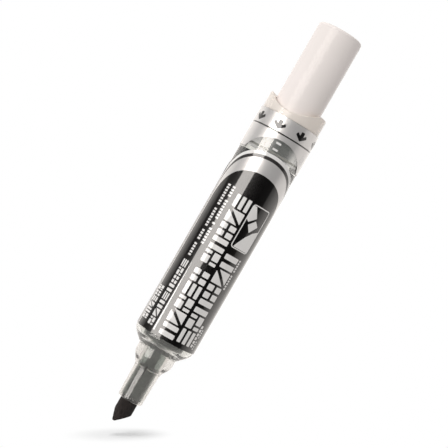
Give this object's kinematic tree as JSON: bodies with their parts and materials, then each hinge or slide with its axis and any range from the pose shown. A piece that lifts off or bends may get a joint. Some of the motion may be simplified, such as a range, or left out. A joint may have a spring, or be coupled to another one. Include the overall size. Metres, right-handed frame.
{
  "type": "whiteboard marker",
  "caption": "Round whiteboard marker without its cap: chisel felt nib, clear nozzle and ink tank, printed film sleeve, saddle-rimmed collar and a push button that pumps ink.",
  "frame": {"origin": "on the marker's axis, level with the nib's writing edge", "axes": "+Z along the axis from the nib to the button; the chisel's writing edge runs along Y and lies on the -X side; -Y is the front of the label"},
  "size_m": [0.019, 0.019, 0.1302],
  "materials": {
    "felt": "ink-soaked polyester felt",
    "nozzle_plastic": "translucent moulded polypropylene",
    "natural_plastic": "unpigmented moulded polypropylene",
    "seal_rubber": "moulded nitrile rubber",
    "wick_fibre": "bonded fibre rod soaked with ink",
    "clear_plastic": "clear moulded plastic",
    "printed_film": "shrunk clear film printed silver, white and black",
    "ink": "black liquid ink",
    "spring_steel": "drawn stainless wire",
    "ball_steel": "polished stainless ball",
    "collar_plastic": "frosted translucent moulded polypropylene",
    "white_plastic": "warm white satin moulded plastic"
  },
  "bodies": {
    "case": {"nib": "felt", "nozzle": "nozzle_plastic", "nib_holder": "natural_plastic", "nozzle_seal": "seal_rubber", "feed_wick": "wick_fibre", "collector": "natural_plastic", "tank_plug": "natural_plastic", "tank_seal": "seal_rubber", "barrel": "clear_plastic", "label_film": "printed_film", "ink_charge": "ink", "pump_cylinder": "natural_plastic", "cylinder_seal": "seal_rubber", "valve_cage": "natural_plastic", "valve_spring": "spring_steel", "return_spring": "spring_steel", "collar": "collar_plastic"},
    "plunger": {"push_button": "white_plastic", "piston": "natural_plastic", "piston_seal": "seal_rubber", "intake_valve": "seal_rubber"},
    "check_ball": {"valve_ball": "ball_steel"}
  },
  "joints": [
    {"name": "button_press", "type": "slide", "parent": "case", "child": "plunger", "axis": [0, 0, -1], "range_m": [0, 0.006], "stiffness_N_per_m": 600, "springref_m": -0.004, "deforming": ["return_spring"]},
    {"name": "check_ball_lift", "type": "slide", "parent": "case", "child": "check_ball", "axis": [0, 0, -1], "range_m": [0, 0.0008], "stiffness_N_per_m": 60, "springref_m": -0.002, "deforming": ["valve_spring"]}
  ]
}
